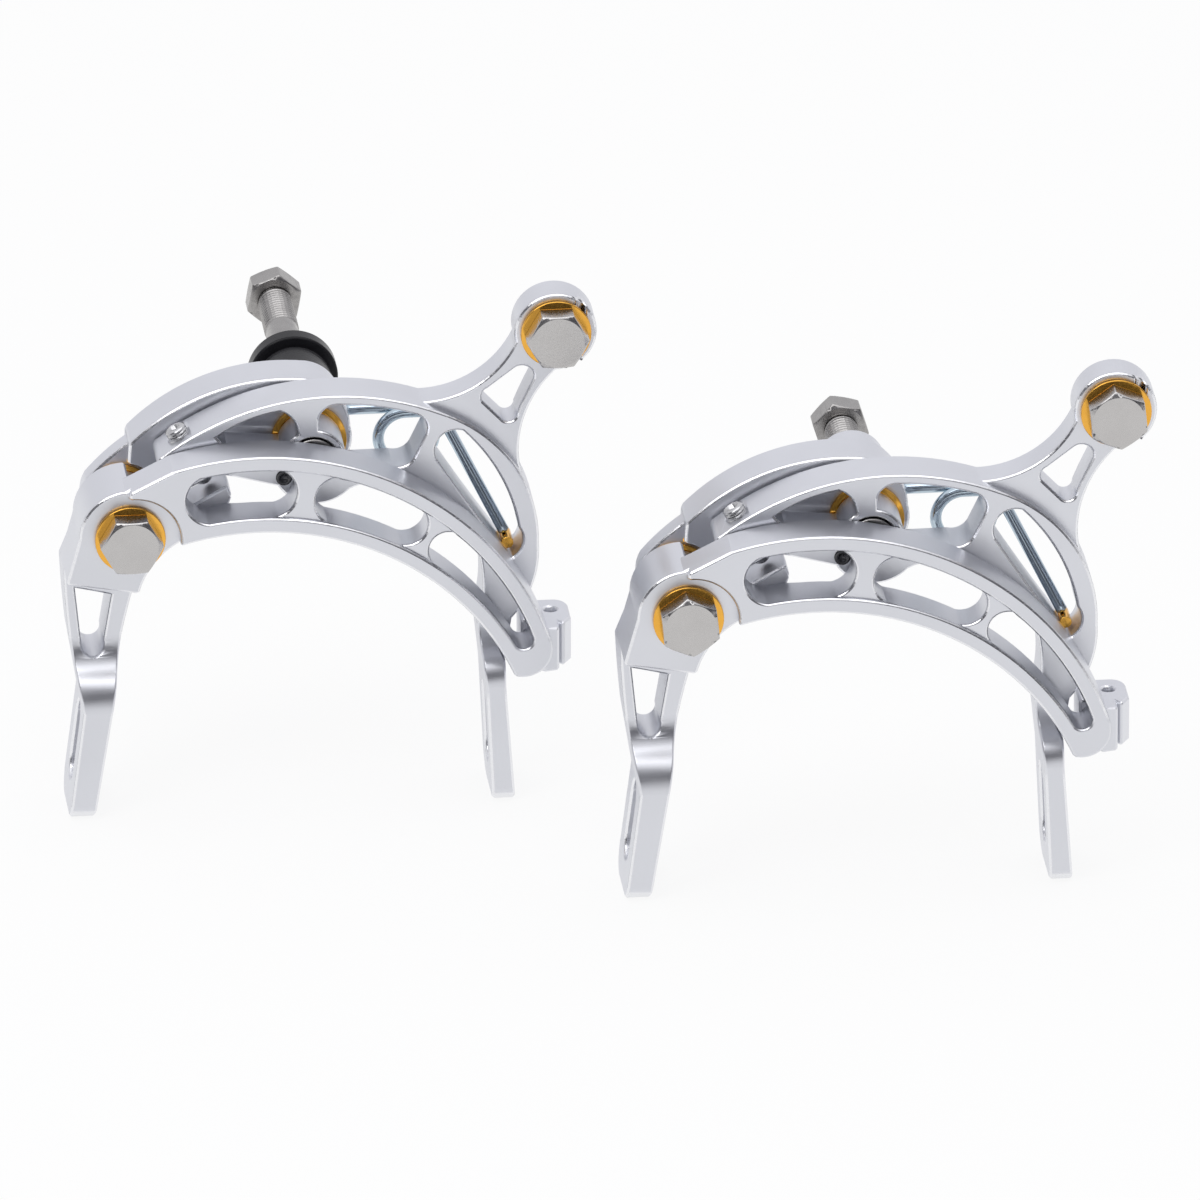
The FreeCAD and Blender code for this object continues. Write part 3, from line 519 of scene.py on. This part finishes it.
def spring_path():
    """The wire's centre line in a brake's own frame, in millimetres: round the coil, then down to the pin."""
    top = COIL_CENTRE[1] + COIL_RADIUS
    points = [Vector((WIRE_START, COIL_REAR, top))]
    for i in range(COIL_STEPS + 1):
        turn = 2 * math.pi * i / COIL_STEPS
        points.append(Vector((COIL_CENTRE[0] + COIL_RADIUS * math.sin(turn),
                              COIL_REAR - COIL_PITCH * i / COIL_STEPS,
                              COIL_CENTRE[1] + COIL_RADIUS * math.cos(turn))))
    bend = Vector((ELBOW_START, COIL_REAR - COIL_PITCH, top))
    down = Vector((0.0, WIRE_TIP.y - bend.y, WIRE_TIP.z - bend.z)).normalized()
    centre = bend + down * ELBOW_RADIUS
    gap = WIRE_TIP - centre
    fall = gap.dot(down)
    lean = math.acos(ELBOW_RADIUS / math.hypot(gap.x, fall)) - math.atan2(fall, gap.x)
    for i in range(ELBOW_STEPS + 1):
        turn = math.pi / 2 + (lean - math.pi / 2) * i / ELBOW_STEPS
        points.append(centre + Vector((ELBOW_RADIUS * math.cos(turn), 0.0, 0.0))
                      - down * (ELBOW_RADIUS * math.sin(turn)))
    knee = points[-1]
    for i in range(1, LEG_STEPS + 1):
        points.append(knee.lerp(WIRE_TIP, i / LEG_STEPS))
    return points


for brake, origin in HUB_REAR.items():
    path = [origin + point * MM for point in spring_path()]
    spring = tube(brake + "_spring_wire", path, WIRE_RADIUS * MM, WIRE_SIDES)
    spring.data.materials.append(WIRE)
    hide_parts(brake + "_return_spring")
    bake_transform(spring)


# Screw threads, the adjusting screw's top end, and the small black screw in each Y-arm's hub

BOLT_RADIUS = 3.0
BOLT_PITCH = 1.0
BOLT_RIDGE = 0.2
THREAD_START = {"front": 29.5, "rear": 7.0}
NUT_FACE = {"front": 43.5, "rear": 20.5}
SCREW_TOP = Vector((-24.35, -24.6, 4.74))
SCREW_LEAN = math.radians(28.0)
SCREW_AXIS = Vector((math.sin(SCREW_LEAN), 0.0, -math.cos(SCREW_LEAN)))
SCREW_RADIUS = 2.0
SCREW_LENGTH = 9.2
SCREW_PITCH = 0.8
SCREW_RIDGE = 0.14
STUB_PROFILE = ((1.6, -1.2),
                (1.6, 0.05), (2.0, 0.2), (2.0, 0.4), (1.6, 0.55),
                (1.6, 0.65), (2.0, 0.8), (2.0, 1.0), (1.6, 1.15),
                (1.45, 1.3), (0.95, 1.32), (0.85, 0.6))
STUB_SIDES = 32
HUB_SCREW_PLACE = Vector((-5.4, -29.1, -3.0))
HUB_SCREW_AXIS = Vector((0.0, -1.0, 0.0))
HUB_SCREW_PROFILE = ((1.5, -1.0), (1.5, 0.18), (1.38, 0.3), (0.8, 0.3), (0.7, 0.05))
HUB_SCREW_SIDES = 28

for brake, origin in HUB_REAR.items():
    y_arm = brake + "_y_arm"
    begin = THREAD_START[brake]
    screw_top = origin + SCREW_TOP * MM
    bolt_thread = thread(brake + "_bolt_thread", origin + REARWARD * (begin * MM), REARWARD,
                         (NUT_FACE[brake] - begin) * MM, BOLT_RADIUS * MM, BOLT_PITCH * MM, BOLT_RIDGE * MM)
    screw_thread = thread(brake + "_screw_thread", screw_top, SCREW_AXIS,
                          SCREW_LENGTH * MM, SCREW_RADIUS * MM, SCREW_PITCH * MM, SCREW_RIDGE * MM)
    screw_end = turned(brake + "_screw_end", screw_top, -SCREW_AXIS, STUB_PROFILE, STUB_SIDES)
    hub_screw = turned(brake + "_hub_screw", origin + HUB_SCREW_PLACE * MM, HUB_SCREW_AXIS,
                       HUB_SCREW_PROFILE, HUB_SCREW_SIDES)
    for piece, finish, body in ((bolt_thread, DULL, "brackets"), (screw_thread, ZINC, y_arm),
                                (screw_end, ZINC, y_arm), (hub_screw, DARK, y_arm)):
        piece.data.materials.append(finish)
        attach(piece, body)


# The camera, which puts the front brake's origin at its pixel of the photograph

PX_PER_MM = 5.5
IMAGE_PX = 1200
HUB_PX = (298.0, 397.0)
AZIMUTH = math.radians(6.1)
ELEVATION = math.radians(24.0)
# In metres, apart from the sensor, which is in Blender's millimetres
CAMERA_DISTANCE = 6.0
CLIP_END = 100.0
SENSOR_WIDTH = 36.0

right = Vector((math.cos(AZIMUTH), -math.sin(AZIMUTH), 0.0))
ahead = Vector((math.sin(AZIMUTH) * math.cos(ELEVATION), math.cos(AZIMUTH) * math.cos(ELEVATION),
                -math.sin(ELEVATION)))
upward = right.cross(ahead)
middle = (HUB_REAR["front"]
          + right * (IMAGE_PX / 2 - HUB_PX[0]) / PX_PER_MM * MM
          - upward * (IMAGE_PX / 2 - HUB_PX[1]) / PX_PER_MM * MM)

camera_data = bpy.data.cameras.new("camera")
camera = bpy.data.objects.new("camera", camera_data)
scene.collection.objects.link(camera)
camera_data.sensor_width = SENSOR_WIDTH
camera_data.lens = SENSOR_WIDTH * CAMERA_DISTANCE / (IMAGE_PX / PX_PER_MM * MM)
camera_data.clip_end = CLIP_END
camera.matrix_world = Matrix.Translation(middle - ahead * CAMERA_DISTANCE) @ Matrix((
    (right.x, upward.x, -ahead.x, 0.0),
    (right.y, upward.y, -ahead.y, 0.0),
    (right.z, upward.z, -ahead.z, 0.0),
    (0.0, 0.0, 0.0, 1.0)))
scene.camera = camera


# The floor

FLOOR_GAP = 0.05
HALF_FLOOR = 4.0
FLOOR_TONE = (0.9, 0.9, 0.9)
FLOOR_ROUGHNESS = 0.9
FLOOR_GLOW = 0.88
WHITE = (1.0, 1.0, 1.0)


def pale_floor():
    """White paper that shows white to the camera and in reflections, and still takes a shadow."""
    material, tree, shader = new_material("pale_floor")
    shader.inputs["Base Color"].default_value = opaque(FLOOR_TONE)
    shader.inputs["Roughness"].default_value = FLOOR_ROUGHNESS
    shader.inputs["Specular IOR Level"].default_value = 0.0
    glow = tree.nodes.new("ShaderNodeEmission")
    glow.inputs["Color"].default_value = opaque(WHITE)
    rays = tree.nodes.new("ShaderNodeLightPath")
    seen = math_node(tree, "ADD", rays.outputs["Is Camera Ray"], rays.outputs["Is Glossy Ray"], True)
    seen = math_node(tree, "ADD", seen, rays.outputs["Is Transmission Ray"], True)
    share = math_node(tree, "MULTIPLY", seen, FLOOR_GLOW)
    mix = tree.nodes.new("ShaderNodeMixShader")
    tree.links.new(share, mix.inputs["Fac"])
    tree.links.new(shader.outputs["BSDF"], mix.inputs[1])
    tree.links.new(glow.outputs["Emission"], mix.inputs[2])
    output = [node for node in tree.nodes if node.type == "OUTPUT_MATERIAL"][0]
    tree.links.new(mix.outputs["Shader"], output.inputs["Surface"])
    return material


floor_level = cad_box[0].z - FLOOR_GAP * MM
corners = [(x * HALF_FLOOR, y * HALF_FLOOR, floor_level) for x, y in ((-1, -1), (1, -1), (1, 1), (-1, 1))]
floor = new_piece("floor", corners, [(0, 1, 2, 3)])
floor.data.materials.append(pale_floor())


# The light: a pale sky and two soft boxes

SKY_TONE = (0.92, 0.92, 0.95)
SKY_LOW = 0.88
SKY_HIGH = 1.06
# Heights and depths in the sky are shares of its radius
SKY_RISE = (0.45, 0.65)
BAND_TONE = (0.12, 0.12, 0.135)
BAND_FOOT = (0.0, 0.15)
BAND_TOP = (0.60, 0.80)
BAND_FRONT = (-0.2, 0.2)


def studio_world():
    """A pale sky that is brighter overhead, with a dark band in front, as a screen gives in a studio."""
    world = bpy.data.worlds.new("studio")
    world.use_nodes = True
    tree = world.node_tree
    tree.nodes.clear()
    output = tree.nodes.new("ShaderNodeOutputWorld")
    way = tree.nodes.new("ShaderNodeTexCoord").outputs["Generated"]
    split = tree.nodes.new("ShaderNodeSeparateXYZ")
    tree.links.new(way, split.inputs["Vector"])
    front = ranged(tree, split.outputs["Y"], BAND_FRONT, FALLING)
    above = ranged(tree, split.outputs["Z"], BAND_FOOT, RISING)
    below = ranged(tree, split.outputs["Z"], BAND_TOP, FALLING)
    band = math_node(tree, "MULTIPLY", math_node(tree, "MULTIPLY", above, below), front)
    sky = tree.nodes.new("ShaderNodeBackground")
    tree.links.new(mixed(tree, band, opaque(SKY_TONE), opaque(BAND_TONE), "RGBA"), sky.inputs["Color"])
    dome = ranged(tree, split.outputs["Z"], SKY_RISE, (SKY_LOW, SKY_HIGH))
    tree.links.new(dome, sky.inputs["Strength"])
    tree.links.new(sky.outputs["Background"], output.inputs["Surface"])
    scene.world = world


def soft_box(name, place, target, side, watts):
    """A square area light that faces a target. Its place, target and side are in metres."""
    data = bpy.data.lights.new(name, "AREA")
    data.shape = "SQUARE"
    data.size = side
    data.energy = watts
    lamp = bpy.data.objects.new(name, data)
    scene.collection.objects.link(lamp)
    lamp.location = place
    lamp.rotation_mode = "QUATERNION"
    lamp.rotation_quaternion = (Vector(target) - Vector(place)).to_track_quat("-Z", "Y")


AIM = (0.05, -0.04, -0.02)
studio_world()
soft_box("key_light", place=(-0.55, -0.55, 0.9), target=AIM, side=0.5, watts=2.2)
soft_box("top_light", place=(0.1, -0.25, 1.1), target=AIM, side=0.9, watts=2.4)

scene.view_settings.view_transform = "Standard"
